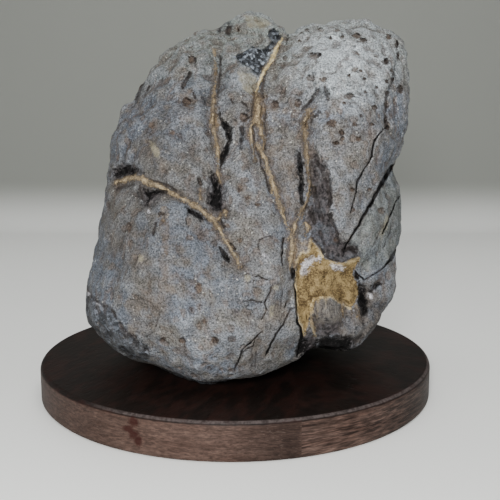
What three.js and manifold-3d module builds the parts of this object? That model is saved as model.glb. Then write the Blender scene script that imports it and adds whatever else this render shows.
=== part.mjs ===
// A viewing stone: an upright natural lump of dark weathered rock on a plain round wooden base.
// Millimetres, +Z up, X to the right, Y away from the viewing side.
// The origin is the centre of the base's underside.

import * as THREE from "three";
import { mergeVertices } from "three/addons/utils/BufferGeometryUtils.js";
import Module from "manifold-3d";

// The base: two boards glued edge to edge and turned to one disc.
const DISC_DIAMETER = 120;
const DISC_THICKNESS = 10;
const TOP_EDGE_ROUND = 1.4;
const TOP_EDGE_STEPS = 4;
const BOTTOM_EDGE_BEVEL = 0.6;
const GLUE_LINE_X = 16.5;
const DISC_SEGMENTS = 96;

// The stone's widest outline lies in a plane that leans back, through RIM_CENTRE.
const LEAN_DEGREES = 20;
const RIM_CENTRE = new THREE.Vector3(3, -19.5, 62.7);

// How far the stone reaches from that plane, to the front and to the back.
const FRONT_DEPTH = 20;
const BACK_DEPTH = 48;
const BACK_UPRIGHT = 0.36;
const FRONT_FULLNESS = 2.4;
const BACK_FULLNESS = 2.6;
const BACK_IRREGULARITY = 0.11;
const BACK_LUMP_LENGTH = 62;
const BACK_LUMP_RADIUS = 55;

// Sections in front of the rim plane shrink about one low point, so the face slopes back at the top.
const TAPER_FOOT = new THREE.Vector2(1.4, -56);
const TAPER_LENGTH = 174;

// Fineness of the stone's faceting, as divisions of each side of an icosahedron,
// and of the curve through each stretch of its outline.
const STONE_DETAIL = 15;
const OUTLINE_DETAIL = 12;

// Bare materials: colour and roughness.
const STONE_COLOUR = 0x6f7077;
const STONE_ROUGHNESS = 0.9;
const WOOD_COLOUR = 0x3b2620;
const WOOD_ROUGHNESS = 0.6;

// The outline in the rim plane, right and up from RIM_CENTRE, anticlockwise from the right.
const OUTLINE = [
  [42.5, 1], [40.5, 5], [42, 8], [44.5, 12.5], [46, 16.5], [46.5, 24], [47, 33.5],
  [46.5, 41.5], [45, 45.5], [41.5, 47.5], [38, 49.5], [34.5, 51], [29.5, 50.5],
  [23.5, 50], [17.5, 49], [14, 48], [12.5, 45.5], [10.5, 48.5], [7.5, 51.5],
  [4.5, 53], [0, 53.2], [-3.5, 52], [-6, 50.8], [-7.8, 49.5], [-9.5, 47.5],
  [-15, 46.5], [-20, 43.5], [-23.5, 40], [-27, 35], [-30, 30.5], [-32, 26],
  [-35.5, 21], [-37.5, 15.5], [-38, 8], [-39, 1], [-39.5, -6], [-40.5, -15],
  [-42, -24], [-42.5, -28.5], [-43, -32.5], [-42.5, -35.5], [-40.5, -40],
  [-36, -44], [-30.5, -47], [-25.5, -48.5], [-21, -50.5], [-15.5, -53],
  [-9.5, -54.5], [-4, -53.5], [1.5, -53], [8, -50.5], [14, -47.5], [18, -45],
  [20.5, -44], [25.5, -45.8], [29, -45.5], [30.5, -43], [34, -41.5], [35.5, -38],
  [37.5, -35], [40.5, -31.5], [41.5, -26.5], [41, -19.5], [42.5, -16], [43, -10.5],
  [43.5, -4],
];

// Swells and hollows of the front: centre, half sizes and height, in the rim plane's directions.
const FRONT_LOBES = [
  { at: [31, 17], size: [16, 37], height: 5.5 }, // the tall bulging lobe on the right
  { at: [-4, -36], size: [25, 19], height: 3.5 }, // the low belly
  { at: [-24, -4], size: [13, 40], height: 2.5 }, // the smooth left side
  { at: [23, -28], size: [9, 9], height: -3.5 }, // the hollow that holds the golden patch
  { at: [34, -35], size: [10, 12], height: -4.5 }, // the set-back lower right corner
  { at: [42, -12], size: [6, 16], height: -3 }, // the split strip along the right side
  { at: [2, 49], size: [11, 6], height: -5 }, // the set-back knob on the crest
  { at: [4, 39], size: [6, 5], height: -2 }, // the broken facet under the knob
];

// How flat-topped the lobes are: the power of the fall-off from their middle.
const LOBE_FALL_OFF = 1.5;

// Furrows of the front, where veins and cracks run: the line, half width and depth.
const FRONT_FURROWS = [
  { line: [[-9.5, 44], [-9, 20], [-7, -1]], width: 3, depth: 1.5 },
  { line: [[-37, 0.5], [-28, 1], [-13, -6.5], [-2, -24]], width: 3, depth: 1.1 },
  { line: [[11, 45], [3.5, 29], [2.5, 10], [7, 4], [12, -11], [13, -23]], width: 3, depth: 1.6 },
  { line: [[18.5, 25], [17, 16], [18, 0], [13, -15]], width: 3.2, depth: 2 },
  { line: [[43, 7], [41, 4], [35, -5], [27.5, -18]], width: 3.4, depth: 3 },
  { line: [[43, -3], [38, -14], [34, -20]], width: 3, depth: 1 },
  { line: [[42, -19], [37, -24], [30, -25]], width: 3, depth: 1.6 },
  { line: [[13, -24], [15, -40], [14, -49]], width: 3.2, depth: 2.2 },
  { line: [[12, -34], [5.5, -47]], width: 3, depth: 1 },
];

// Swells, hollows and furrows of the back.
const BACK_LOBES = [
  { at: [-17, 12], size: [16, 26], height: 4 },
  { at: [22, -14], size: [15, 20], height: 3.5 },
  { at: [12, 30], size: [18, 9], height: -3 },
  { at: [-8, -26], size: [14, 10], height: -3.5 },
];
const BACK_FURROWS = [
  { line: [[-34, 24], [-6, 6], [8, -14], [30, -26]], width: 3.4, depth: 2.4 },
  { line: [[30, 34], [20, 14], [8, 2]], width: 3.2, depth: 1.8 },
];

// Broken flats of the back: each limits the depth to reach + right * x + up * z.
const BACK_FLATS = [
  { reach: 56, right: 0.75, up: -0.1 },
  { reach: 60, right: -0.7, up: -0.25 },
  { reach: 54, right: 0.05, up: -0.75 },
  { reach: 70, right: 0.1, up: 0.35 },
];
const FLAT_SOFTNESS = 4;

// Gentle unevenness over the whole stone: wave length and height.
const WAVES = [
  { length: 26, height: 0.9 },
  { length: 13, height: 0.5 },
  { length: 8, height: 0.25 },
];

// Four crossing ripples that make up the unevenness: direction and start.
const RIPPLES = [
  { along: [0.83, 0.41, -0.37], start: 1.7 },
  { along: [-0.36, 0.78, 0.51], start: 4.1 },
  { along: [0.42, -0.33, 0.85], start: 0.6 },
  { along: [0.71, -0.62, -0.33], start: 2.9 },
];
const RIPPLE_SPAN = 1.8;

// Relief and unevenness grow from the rim inwards, and are full at 1 / RELIEF_START of the depth.
const RELIEF_START = 1.5;

// Half size of the boxes that cut the solids, well outside the stone and the disc.
const CUT_REACH = 90;

// Points nearer together than this are one point.
const SAME_POINT = 1e-4;

const wasm = await Module();
wasm.setup();

// A closed geometry as a solid that can be joined and cut.
function solidOf(geometry) {
  const bare = geometry.clone();
  bare.deleteAttribute("normal");
  bare.deleteAttribute("uv");
  const merged = mergeVertices(bare, SAME_POINT);
  return new wasm.Manifold(
    new wasm.Mesh({
      numProp: 3,
      vertProperties: new Float32Array(merged.attributes.position.array),
      triVerts: new Uint32Array(merged.index.array),
    }),
  );
}

// A solid as a drawable geometry.
function geometryOf(solid) {
  const mesh = solid.getMesh();
  const geometry = new THREE.BufferGeometry();
  geometry.setAttribute("position", new THREE.BufferAttribute(mesh.vertProperties, 3));
  geometry.setIndex(new THREE.BufferAttribute(mesh.triVerts, 1));
  geometry.computeVertexNormals();
  return geometry;
}

// A box between two corners.
function boxBetween(low, high) {
  const box = new THREE.BoxGeometry(high[0] - low[0], high[1] - low[1], high[2] - low[2]);
  box.translate((low[0] + high[0]) / 2, (low[1] + high[1]) / 2, (low[2] + high[2]) / 2);
  return solidOf(box);
}

// The outline's radius in any direction, from a smooth closed curve through its points.
const outlineCurve = new THREE.CatmullRomCurve3(
  OUTLINE.map(([x, z]) => new THREE.Vector3(x, z, 0)),
  true,
  "centripetal",
);
const outlineSamples = outlineCurve
  .getPoints(OUTLINE.length * OUTLINE_DETAIL)
  .map((p) => ({ angle: Math.atan2(p.y, p.x), radius: Math.hypot(p.x, p.y) }))
  .sort((p, q) => p.angle - q.angle);

function outlineRadius(angle) {
  let low = 0;
  let high = outlineSamples.length - 1;
  if (angle <= outlineSamples[low].angle) return outlineSamples[low].radius;
  if (angle >= outlineSamples[high].angle) return outlineSamples[high].radius;
  while (high - low > 1) {
    const middle = (low + high) >> 1;
    if (outlineSamples[middle].angle > angle) high = middle;
    else low = middle;
  }
  const before = outlineSamples[low];
  const after = outlineSamples[high];
  const share = (angle - before.angle) / Math.max(after.angle - before.angle, 1e-9);
  return before.radius + share * (after.radius - before.radius);
}

// The distance from a point of the rim plane to a line of straight stretches.
function distanceTo(line, x, z) {
  let nearest = Infinity;
  for (let i = 1; i < line.length; i++) {
    const [x0, z0] = line[i - 1];
    const [x1, z1] = line[i];
    const dx = x1 - x0;
    const dz = z1 - z0;
    const along = ((x - x0) * dx + (z - z0) * dz) / (dx * dx + dz * dz);
    const t = THREE.MathUtils.clamp(along, 0, 1);
    nearest = Math.min(nearest, Math.hypot(x - x0 - t * dx, z - z0 - t * dz));
  }
  return nearest;
}

// The height that lobes and furrows add at a point of the rim plane.
function relief(lobes, furrows, x, z) {
  let height = 0;
  for (const lobe of lobes) {
    const across = (x - lobe.at[0]) / lobe.size[0];
    const up = (z - lobe.at[1]) / lobe.size[1];
    height += lobe.height * Math.exp(-Math.pow(across * across + up * up, LOBE_FALL_OFF));
  }
  for (const furrow of furrows) {
    const away = distanceTo(furrow.line, x, z) / furrow.width;
    height -= furrow.depth * Math.exp(-away * away);
  }
  return height;
}

// The smaller of two lengths, with a rounded change from one to the other.
function softMin(a, b, softness) {
  const h = THREE.MathUtils.clamp(0.5 + (0.5 * (b - a)) / softness, 0, 1);
  return b + (a - b) * h - softness * h * (1 - h);
}

// A smooth unevenness, about -1 to 1, that repeats nowhere on the stone.
function unevenness(p, length) {
  const k = (2 * Math.PI) / length;
  const [a, b, c, d] = RIPPLES.map(({ along, start }) =>
    Math.sin(k * (along[0] * p.x + along[1] * p.y + along[2] * p.z) + start),
  );
  return (a * b + c * d + (a + d) / 2) / RIPPLE_SPAN;
}

// The stone: a faceted ball drawn out to the outline, to the two depths and to the relief.
function stoneSolid() {
  const ball = new THREE.IcosahedronGeometry(1, STONE_DETAIL);
  const lean = THREE.MathUtils.degToRad(LEAN_DEGREES);
  const up = new THREE.Vector3(0, Math.sin(lean), Math.cos(lean));
  const forward = new THREE.Vector3(0, -Math.cos(lean), Math.sin(lean));
  const place = ball.attributes.position;
  const point = new THREE.Vector3();
  for (let i = 0; i < place.count; i++) {
    const s = new THREE.Vector3().fromBufferAttribute(place, i);
    const front = s.y <= 0;
    const fullness = front ? FRONT_FULLNESS : BACK_FULLNESS;
    const flat = Math.hypot(s.x, s.z);
    const deep = Math.abs(s.y);
    const norm = Math.pow(Math.pow(flat, fullness) + Math.pow(deep, fullness), 1 / fullness);
    const radius = (outlineRadius(Math.atan2(s.z, s.x)) * flat) / norm;
    const share = deep / norm;
    const wander = unevenness(s.clone().multiplyScalar(BACK_LUMP_RADIUS), BACK_LUMP_LENGTH);
    const spread = front ? 1 : 1 + BACK_IRREGULARITY * share * wander;
    const across = flat > 0 ? (spread * radius * s.x) / flat : 0;
    const high = flat > 0 ? (spread * radius * s.z) / flat : 0;
    const fade = Math.min(1, share * RELIEF_START);
    let x = across;
    let z = high;
    let depth;
    if (front) {
      depth = FRONT_DEPTH * share + fade * relief(FRONT_LOBES, FRONT_FURROWS, x, z);
      depth = Math.max(depth, 0);
      const shrink = 1 - depth / TAPER_LENGTH;
      x = TAPER_FOOT.x + (x - TAPER_FOOT.x) * shrink;
      z = TAPER_FOOT.y + (z - TAPER_FOOT.y) * shrink;
    } else {
      let reach = (BACK_DEPTH - BACK_UPRIGHT * z) * share;
      reach += fade * relief(BACK_LOBES, BACK_FURROWS, x, z);
      for (const flatFace of BACK_FLATS) {
        const limit = flatFace.reach + flatFace.right * x + flatFace.up * z;
        reach = softMin(reach, limit, FLAT_SOFTNESS);
      }
      depth = -Math.max(reach, 0);
    }
    point.copy(RIM_CENTRE);
    point.x += x;
    point.addScaledVector(up, z);
    point.addScaledVector(forward, depth);
    let swell = 0;
    for (const wave of WAVES) swell += wave.height * unevenness(point, wave.length);
    point.addScaledVector(forward, (front ? 1 : -1) * swell * fade);
    place.setXYZ(i, point.x, point.y, point.z);
  }
  // The underside is ground flat where it sits on the disc.
  const below = boxBetween([-CUT_REACH, -CUT_REACH, -CUT_REACH], [CUT_REACH, CUT_REACH, DISC_THICKNESS]);
  return solidOf(ball).subtract(below);
}

// The disc: its half section turned about Z, with a rounded top edge and a fine bevel below.
function discSolid() {
  const radius = DISC_DIAMETER / 2;
  const profile = [
    new THREE.Vector2(0, 0),
    new THREE.Vector2(radius - BOTTOM_EDGE_BEVEL, 0),
    new THREE.Vector2(radius, BOTTOM_EDGE_BEVEL),
  ];
  for (let i = 0; i <= TOP_EDGE_STEPS; i++) {
    const turn = (i / TOP_EDGE_STEPS) * (Math.PI / 2);
    profile.push(
      new THREE.Vector2(
        radius - TOP_EDGE_ROUND * (1 - Math.cos(turn)),
        DISC_THICKNESS - TOP_EDGE_ROUND * (1 - Math.sin(turn)),
      ),
    );
  }
  profile.push(new THREE.Vector2(0, DISC_THICKNESS));
  const lathe = new THREE.LatheGeometry(profile, DISC_SEGMENTS);
  lathe.rotateX(Math.PI / 2);
  return solidOf(lathe);
}

const stoneMaterial = new THREE.MeshStandardMaterial({
  color: STONE_COLOUR,
  roughness: STONE_ROUGHNESS,
  metalness: 0,
});
const woodMaterial = new THREE.MeshStandardMaterial({
  color: WOOD_COLOUR,
  roughness: WOOD_ROUGHNESS,
  metalness: 0,
});

const group = new THREE.Group();

function add(name, solid, material) {
  const mesh = new THREE.Mesh(geometryOf(solid), material);
  mesh.name = name;
  group.add(mesh);
}

const disc = discSolid();
const leftOfGlue = boxBetween([-CUT_REACH, -CUT_REACH, -CUT_REACH], [GLUE_LINE_X, CUT_REACH, CUT_REACH]);
add("base_main_board", disc.intersect(leftOfGlue), woodMaterial);
add("base_side_board", disc.subtract(leftOfGlue), woodMaterial.clone());
add("stone", stoneSolid(), stoneMaterial);

export default group;
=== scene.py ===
import math

import bmesh
import bpy
import numpy as np
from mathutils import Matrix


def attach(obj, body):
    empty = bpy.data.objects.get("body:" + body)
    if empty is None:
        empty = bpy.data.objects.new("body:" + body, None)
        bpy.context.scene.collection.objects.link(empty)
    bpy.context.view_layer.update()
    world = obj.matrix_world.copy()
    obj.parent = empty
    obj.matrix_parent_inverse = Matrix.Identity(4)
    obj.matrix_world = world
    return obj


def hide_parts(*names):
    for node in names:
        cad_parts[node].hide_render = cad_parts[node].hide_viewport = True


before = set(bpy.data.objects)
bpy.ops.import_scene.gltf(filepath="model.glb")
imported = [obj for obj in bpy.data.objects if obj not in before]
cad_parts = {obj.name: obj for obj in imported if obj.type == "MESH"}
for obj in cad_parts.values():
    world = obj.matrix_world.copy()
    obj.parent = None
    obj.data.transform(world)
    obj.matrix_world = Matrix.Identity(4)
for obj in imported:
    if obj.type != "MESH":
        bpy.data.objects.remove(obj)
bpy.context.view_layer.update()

# ---------------------------------------------------------------------------
# Camera. It stands a little above the middle of the stone and looks slightly
# down at its front face. The same pinhole gives the chart on which the veins
# and cracks of the face are laid out.
# ---------------------------------------------------------------------------
EYE = (0.0044, -0.2025, 0.0697)
LOOK_DOWN = math.radians(7.89)
LENS_MM = 46.8
SENSOR_MM = 36.0

lens = bpy.data.cameras.new("front_camera")
lens.lens = LENS_MM
lens.sensor_width = SENSOR_MM
lens.clip_start = 0.01
lens.clip_end = 20.0
camera = bpy.data.objects.new("front_camera", lens)
camera.location = EYE
camera.rotation_euler = (math.pi / 2 - LOOK_DOWN, 0.0, 0.0)
bpy.context.scene.collection.objects.link(camera)
bpy.context.scene.camera = camera

# ---------------------------------------------------------------------------
# The stone. One lump of dark, dense, weathered volcanic rock with a finely
# pitted skin. Ochre seams of iron-stained mineral stand proud of it, dark
# cracks and hollows run beside them, and a golden fibrous crust fills a hollow.
# ---------------------------------------------------------------------------
BLUE_GREY = "#595E66"
WARM_GREY = "#5F5E5D"
PALE_GREY = "#959B9E"
GREEN_GREY = "#7C837C"
BROWN_TINT = "#5D5953"
SPOT_BROWN = "#564B43"
HOLLOW_BROWN_AND_SHADE = "#423934"
FLECK_WHITE = "#C2C2BA"
PORE_SHADE = "#1C1918"
PALE_WEAR_AND_HIGHLIGHT = "#7F8286"
LAYERS = [
    # name, gap, grain, raggedness, outer and inner edge, dark and light colour, strength, patchiness, roughness
    ("strip", "strip_gap", "grain", 3.0, 4.0, -4.0, "#3F4444", "#767D7B", 0.6, 0.3, 0.8),
    ("stained", "stain_gap", "grain", 5.0, 5.0, -4.0, "#3C3530", "#71665B", 0.45, 0.5, 0.8),
    ("pale", "pale_gap", "grain", 1.5, 1.5, -1.5, "#7A7462", "#A39C82", 0.6, 0.3, 0.8),
    ("hook", "hook_gap", "grain", 2.5, 1.5, -2.0, "#17181C", "#4E5157", 0.8, 0.5, 0.7),
    # flank: the dark grounds, dark rock with painted shade in the deep groove and painted shadow under the corner
    ("flank", "flank_gap", "mottle", 5.0, 4.5, -4.0, "#040304", "#4E4849", 0.95, 0.3, 0.6),
    # band: dark crystals, a few bright ones as painted glints
    ("band", "band_gap", "crystal_glint", 4.0, 3.0, -3.0, "#07080B", "#666C76", 0.85, 0.4, 0.55),
    ("corner", "corner_gap", "grain", 4.0, 4.0, -3.0, "#181516", "#625C57", 0.85, 0.35, 0.7),
    ("ochre", "ochre_gap", "grain", 4.0, 2.5, -2.0, "#463828", "#8A7350", 0.75, 0.5, 0.8),
    ("crust", "crust_gap", "grain", 2.2, 0.8, -0.8, "#43341D", "#8F7B55", 1.0, 0.0, 0.7),
    ("rim", "rim_gap", "grain", 1.8, 1.3, -0.6, "#85704A", "#D3C094", 0.85, 0.35, 0.7),
    ("boss", "boss_gap", "streak", 2.0, 2.5, -3.0, "#242021", "#7B756D", 0.85, 0.2, 0.6),
    # glaze: pale glossy film with painted glints
    ("glaze_and_glint", "glaze_and_glint_gap", "grain", 3.0, 1.8, -1.8, "#77747A", "#E6E5EA", 0.8, 0.3, 0.3),
    # facet: dark crystals whose bright faces are painted glints
    ("facet", "facet_gap", "crystal_glint", 2.0, 1.0, -1.5, "#010102", "#A0A9B4", 0.97, 0.0, 0.35),
    ("pit", "pit_gap", "grain", 1.6, 1.1, -1.1, "#2A201A", "#5E5045", 0.85, 0.25, 0.8),
    # lip: painted shadow inside the upper side of the deep pits
    ("lip", "lip_gap", "grain", 1.0, 0.5, -0.7, "#060505", "#1E1A18", 0.8, 0.2, 0.8),
    # dark: stained lines, and painted shade and shadow lines
    ("dark", "dark_gap", "streak", 1.4, 0.9, -0.7, "#0B0A0A", "#37312F", 0.85, 0.35, 0.8),
    ("halo", "seam_gap", "streak", 3.0, 5.0, 0.4, "#1E1915", "#5C5249", 0.45, 0.8, 0.8),
    ("seam", "seam_gap", "streak", 2.2, 0.7, -0.9, "#32281F", "#84745C", 1.0, 0.25, 0.75),
    ("seam_heart", "heart_gap", "grain", 2.8, 0.2, -2.0, "#756650", "#BFAC89", 0.85, 0.55, 0.75),
    ("crest", "crest_gap", "grain", 0.8, 0.5, -0.7, "#A38F63", "#D8C89C", 1.0, 0.0, 0.7),
    # crack: painted shade inside the open cracks
    ("crack", "crack_gap", "grain", 0.7, 0.45, -0.3, "#020202", "#0C0B0B", 1.0, 0.3, 0.95),
    # hollow and hollow_heart: painted shade inside the hollows over dark rock, blackest in their middle
    ("hollow", "hollow_gap", "speck", 3.6, 2.3, -2.2, "#080707", "#5A5553", 1.0, 0.25, 0.85),
    ("hollow_heart", "hollow_gap", "grain", 2.0, -1.2, -4.0, "#030303", "#151313", 0.95, 0.1, 0.9),
]
CHART = 500.0  # the face as a square chart, in units right and down from its top left
MM = 0.001
SKIN_STEP_MM = 1.0
SMOOTHING_ROUNDS = 8
SWELL_MM = 0.2
SEAT_Z_MM = 10.0
UNITS_PER_MM = 3.3  # chart units to a millimetre, about the middle of the face
FAR = 20.0  # a gap so wide, in chart units, that its feature doesn't show
EDGE_FADE = 4.0  # added to the gaps of the face's features past its outline
TURNED_AWAY = 9.0  # added to a gap where the surface faces the other way
HEART_INSET = 2.2  # how much narrower, in chart units, the pale middle of the dullest seam is
SHALLOW_MM = 0.35  # pits less deep than this are only spots of colour
FINER_WITHIN = (1.6, 0.5)  # chart units from a feature; each round of finer triangles reaches less far
ROUND_THE_OUTLINE = (-0.3, 0.0)  # the turn past the outline, as a cosine, over which the face's features end
# Weathered lumps and creased folds: height and size in millimetres, and random seed.
ROUND_LUMPS = [(0.3, 9.0, 21), (0.28, 4.2, 22), (0.24, 2.4, 23)]
FOLDS = [(1.3, 12.0, 24), (0.8, 6.0, 25), (0.4, 3.2, 26)]
MEAN_FOLD_MM = 0.65
TROUGH_MM = 0.7  # the broad dip in which the seams and hollows lie
# Grounds that lie lower: how much, and how rough they are, in millimetres.
SUNKEN_GROUNDS = [
    ("facet", 1.3, 1.5),
    ("flank", 1.1, 0.9),
    ("band", 0.5, 0.8),
    ("corner", 0.3, 1.1),
    ("strip", 0.6, 0.2),
    ("crust", 1.1, 0.55),
]
# Gap, rise in millimetres, its outer and inner edge, and the size and seed of its unevenness (seed 0 for even).
RAISED_AND_CUT = [
    ("boss", 0.8, 0.5, -4.0, 0.0, 0),
    ("rim", 0.25, 1.0, -0.6, 0.0, 0),
    ("seam", -0.4, 4.5, 0.8, 0.0, 0),
    ("seam", 0.75, 0.6, -1.4, 1.5, 41),
    ("crack", -1.6, 0.9, -0.9, 0.0, 0),
    ("great", -1.8, 1.2, -1.0, 0.0, 0),
    ("hollow", -1.9, 0.8, -2.4, 1.8, 42),
    ("dark", -0.6, 0.9, -0.9, 0.0, 0),
]

# Ochre seams: right, down and half width along each line, in chart units.
SEAMS = {
    "upper_left_top": [(214, 50.5, 1.7), (215.2, 58, 1.4), (215.4, 67, 1.0)],
    "upper_left": [(213.5, 50, 1.6), (215.2, 58, 1.4), (215.4, 71, 1.1), (215, 84, 1.1), (214, 97, 1.6),
        (213, 109, 2.3), (212.3, 119, 3.2), (213.5, 128, 2.6), (215, 139, 1.9), (218, 149, 1.9), (218.6, 160, 1.8),
        (218.2, 173, 1.7), (220.3, 183, 1.0)],
    "left_branch": [(116.5, 182.8, 2.0), (125.5, 179.6, 2.8), (134, 177.4, 3.2), (141, 178.6, 3.2),
        (148.5, 182.8, 3.2), (157.4, 186, 2.8), (167.6, 190.4, 2.5), (179, 196.8, 2.1), (189.3, 202.4, 2.3),
        (198.2, 207.6, 2.5), (206, 214, 2.5), (215.3, 223, 2.8), (220.4, 230.8, 2.0), (224.2, 239.6, 2.2),
        (229.3, 247.2, 1.9), (234.4, 253.6, 2.8), (237.6, 260, 1.9), (239.5, 266.5, 1.2)],
    "left_fork": [(215.3, 223, 1.8), (220.4, 215.6, 1.6), (225.5, 211.5, 1.5), (226.5, 216, 0.9)],
    "crest": [(283, 38, 0.7), (279.4, 42, 1.3), (276, 49, 1.9), (273.6, 56, 2.1), (270.6, 61.6, 1.9),
        (266, 68.4, 1.4), (261.4, 77, 1.3), (258.8, 84, 1.5), (256.6, 90.6, 0.9)],
    "middle_top": [(257.6, 88, 0.9), (257, 95, 1.8), (258, 103, 3.4), (258.6, 112, 3.9), (256.6, 122, 4.0)],
    "middle_left": [(254, 121, 2.0), (250.6, 128, 1.8), (251.2, 138, 1.8), (253, 148, 1.6), (255, 161, 0.8)],
    "middle_right": [(259, 120, 2.4), (262, 132, 2.1), (264.5, 142.4, 1.7), (263, 148, 1.0)],
    "middle_low": [(257.6, 143, 1.2), (259.5, 149, 2.1), (264.5, 158, 2.3), (269.6, 173, 2.2), (274.7, 189.6, 2.5),
        (279.5, 203.5, 3.1), (282.5, 212.6, 1.9), (286, 221.8, 1.6), (289.4, 229.8, 1.5), (291.7, 238, 2.4),
        (292.2, 246, 2.8), (291.7, 255, 2.1), (290.5, 263, 1.4), (289.6, 271, 0.7)],
    "right_top": [(314, 108.6, 1.8), (309.5, 111.5, 2.8), (306, 117, 3.0), (304, 125, 3.2), (305.2, 135, 3.1),
        (305.4, 144, 2.8), (306.6, 153, 2.4), (307.9, 163, 1.9), (308.4, 176, 1.7), (309.7, 185, 1.7),
        (309, 192.4, 1.2), (306.6, 201, 1.2), (303, 211.5, 1.1), (300.8, 217.4, 1.0)],
    "right_low": [(309.7, 185, 1.3), (309, 193, 1.6), (306, 202, 1.6), (302, 211, 1.5), (298, 217, 1.5),
        (295, 225.3, 1.6), (292.8, 233.5, 1.8)],
    "right_fork": [(308.8, 179, 1.0), (313.4, 187, 0.8)],
    "thread": [(200.2, 187, 0.9), (200.9, 199, 0.8)],
    "small_left": [(305.4, 223, 1.7), (307.8, 228, 1.8), (305.6, 235, 0.9)],
    "second_leg": [(311.2, 318, 1.4), (313.4, 327, 1.5), (314.6, 335, 1.0)],
    "wisp": [(344, 303, 1.2), (342.5, 309, 0.9), (343, 318, 0.7)],
}

# How much pale mineral each seam shows along its middle, from 0 to 1.
PALENESS = {
    "upper_left_top": 0.9, "upper_left": 0.35, "left_branch": 0.8, "left_fork": 0.7, "crest": 1.0, "middle_top": 0.35,
    "middle_left": 0.8, "middle_right": 0.5, "middle_low": 1.0, "right_top": 0.0, "right_low": 0.85,
    "right_fork": 0.7, "thread": 0.6, "small_left": 0.9, "second_leg": 0.8, "wisp": 0.5,
}

# Cracks: lines that are open, painted black inside as shade.
CRACKS = {
    "lobe_edge": [(386, 127, 0.5), (380.5, 132.4, 0.5), (374, 140.4, 0.9), (371.2, 156.7, 0.8), (365.2, 167, 0.4),
        (357.5, 181, 0.9), (355.6, 192.4, 0.6), (352.4, 206.4, 0.4), (350, 214, 0.2)],
    "great": [(391.5, 166.5, 1.8), (383, 181, 1.9), (375.2, 196, 1.5), (369.4, 206.4, 1.2), (364, 215, 1.1),
        (358.3, 225.3, 0.9), (351.4, 236.7, 0.7), (345.6, 246, 0.6), (343, 256, 0.3)],
    "strip_upper": [(399, 196, 0.6), (394.4, 204, 0.5), (390.4, 215, 0.5), (387, 223, 0.8), (383, 233, 0.5)],
    "strip_lower": [(395.4, 250.6, 1.3), (390.4, 259.7, 1.6), (383.5, 267.7, 0.6), (375.5, 273.5, 0.3),
        (364, 279.8, 0.4), (359.4, 275, 0.8), (354.8, 271, 0.5)],
    "beside_crust": [(284, 238, 0.4), (282.5, 247, 0.6), (281.5, 256, 0.5), (283, 266, 0.2)],
    "under_seam": [(293.6, 283, 0.4), (295.4, 292, 0.9), (296, 302, 0.9), (296, 311, 1.0), (297.4, 322, 0.9),
        (300.6, 328, 0.8), (302, 335, 1.4), (300.4, 344, 1.8), (297.6, 355, 1.0)],
    "belly_first": [(294, 308, 0.22), (290, 309, 0.45), (288, 314, 0.52), (284.6, 321.6, 0.68), (279.6, 328, 0.83),
        (276, 334, 0.9), (273, 341, 0.83), (269.6, 347.4, 0.83), (266.4, 352, 0.75), (265, 357, 0.3)],
    "belly_second": [(263, 331, 0.15), (258, 335.4, 0.38), (252.6, 341, 0.52), (247, 345.4, 0.52), (242.6, 350, 0.6),
        (239.6, 357, 0.6), (236.4, 365, 0.6), (234, 372, 0.22)],
    "belly_third": [(255, 340.6, 0.15), (253.4, 345.4, 0.38), (247.6, 348.8, 0.45), (243.4, 352, 0.3),
        (240.6, 359, 0.22)],
    "belly_fourth": [(271, 287, 0.15), (269, 295, 0.3), (265, 301, 0.3), (264, 304, 0.22), (266.5, 310, 0.22),
        (264.5, 315, 0.3), (262, 319.5, 0.15)],
    "belly_arch": [(284, 308, 0.22), (286, 303.4, 0.3), (288, 300.8, 0.22), (290.4, 301.6, 0.08)],
    "curl": [(253.4, 281, 0.38), (255, 277.4, 0.3), (259, 275.6, 0.3), (263, 278, 0.22), (267.6, 279.2, 0.15)],
}

# Hollows: rough and open, by their outlines. Their near black is dark rock with painted shade, and painted shadow
# under the far left branch and the corner.
HOLLOWS = {
    "beside_upper_left": [(218, 107), (221, 115), (227, 124), (232, 129), (233, 139), (230.5, 148), (227.5, 156),
        (223, 163), (220.6, 171), (220.2, 160), (223, 150), (227, 140), (224, 131), (220.6, 122)],
    "foot_of_upper_left": [(211.5, 174), (216, 179), (220.6, 190), (222.4, 201), (221.6, 210), (215, 211),
        (210, 203.5), (212, 190)],
    "above_left_branch": [(114.5, 175.5), (117.5, 170), (124, 166.6), (131.5, 166), (137, 169.8), (135.4, 174.6),
        (125.5, 175.4), (117, 178)],
    "under_left_branch": [(143.5, 189), (149, 192), (158, 191), (165.5, 191.6), (158, 194), (152.5, 196.8),
        (149.5, 203), (146, 205), (147.4, 197), (144, 193)],
    "under_left_branch_far": [(186.5, 207.6), (192, 209.8), (199, 214.8), (204.6, 219.4), (201, 220), (194, 217),
        (188, 213)],
    "end_of_left_branch": [(217.6, 245), (221.5, 246.6), (225.4, 252), (229.6, 258.6), (229, 263), (224.4, 259),
        (220, 252.6)],
    "left_of_right_seam": [(297.4, 148), (301, 155), (303, 166), (303.6, 180), (304.2, 194), (303.6, 205), (300, 203),
        (298.2, 193), (298.8, 180), (297.4, 165)],
    "under_corner": [(316, 342), (320, 338), (326, 336.4), (333, 336), (344, 336), (350, 337.4), (353, 341),
        (352, 347), (346, 353), (337, 353), (328, 352), (318, 350)],
    "nub": [(299, 342), (304, 339), (309, 344), (306, 352), (299, 356), (296, 350)],
    "crust_side": [(357.6, 284), (361.4, 285.4), (362.6, 293), (366, 300), (367, 312), (362, 318), (359.6, 308),
        (358, 298)],
    "beside_seam_end": [(290.6, 268), (295, 269), (296, 276), (294, 281), (291, 278)],
    "by_crust": [(354, 272.5), (358, 274), (361, 279), (358.5, 281.5), (354.6, 279)],
    "right_spot": [(368.6, 291.6), (373, 285.6), (379.6, 281), (381.4, 283.6), (376.4, 288.6), (371.4, 293)],
}
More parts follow.
